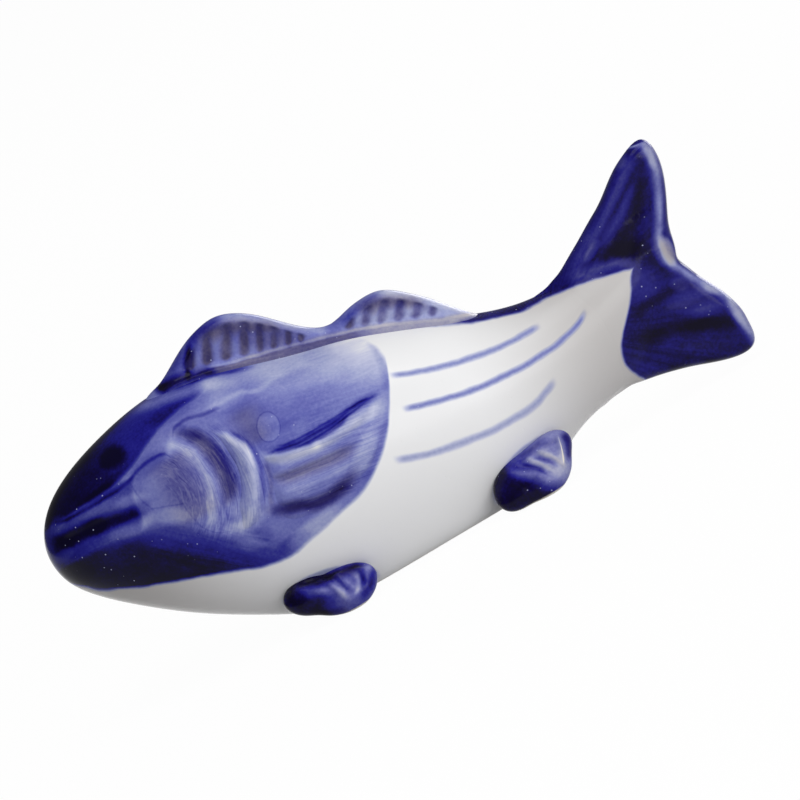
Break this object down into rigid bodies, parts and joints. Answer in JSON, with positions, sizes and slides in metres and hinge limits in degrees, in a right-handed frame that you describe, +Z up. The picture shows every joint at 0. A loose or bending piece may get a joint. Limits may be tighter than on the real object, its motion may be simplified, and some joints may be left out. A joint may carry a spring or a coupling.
{
  "type": "chopstick rest",
  "caption": "Fish-shaped porcelain chopstick rest with dorsal fins, forked tail and fin feet; chopsticks lie across the low back before the tail.",
  "frame": {"origin": "centre of the bounding box on the table plane", "axes": "+X from nose to tail, +Y to the fish's right flank, +Z up from the table"},
  "size_m": [0.075, 0.0224, 0.032],
  "materials": {
    "white_porcelain": "clear glossy glaze over white porcelain, cobalt blue painted under the glaze on the head, back stripes and mouth",
    "cobalt_blue": "clear glossy glaze over cobalt blue brushed on in washes"
  },
  "bodies": {
    "root": {"body": "white_porcelain", "first_dorsal_fin": "cobalt_blue", "second_dorsal_fin": "cobalt_blue", "tail_fin": "cobalt_blue", "left_gill_cover": "cobalt_blue", "right_gill_cover": "cobalt_blue", "left_pectoral_fin": "cobalt_blue", "right_pectoral_fin": "cobalt_blue", "left_pelvic_fin": "cobalt_blue", "right_pelvic_fin": "cobalt_blue", "left_anal_fin": "cobalt_blue", "right_anal_fin": "cobalt_blue"}
  },
  "joints": []
}
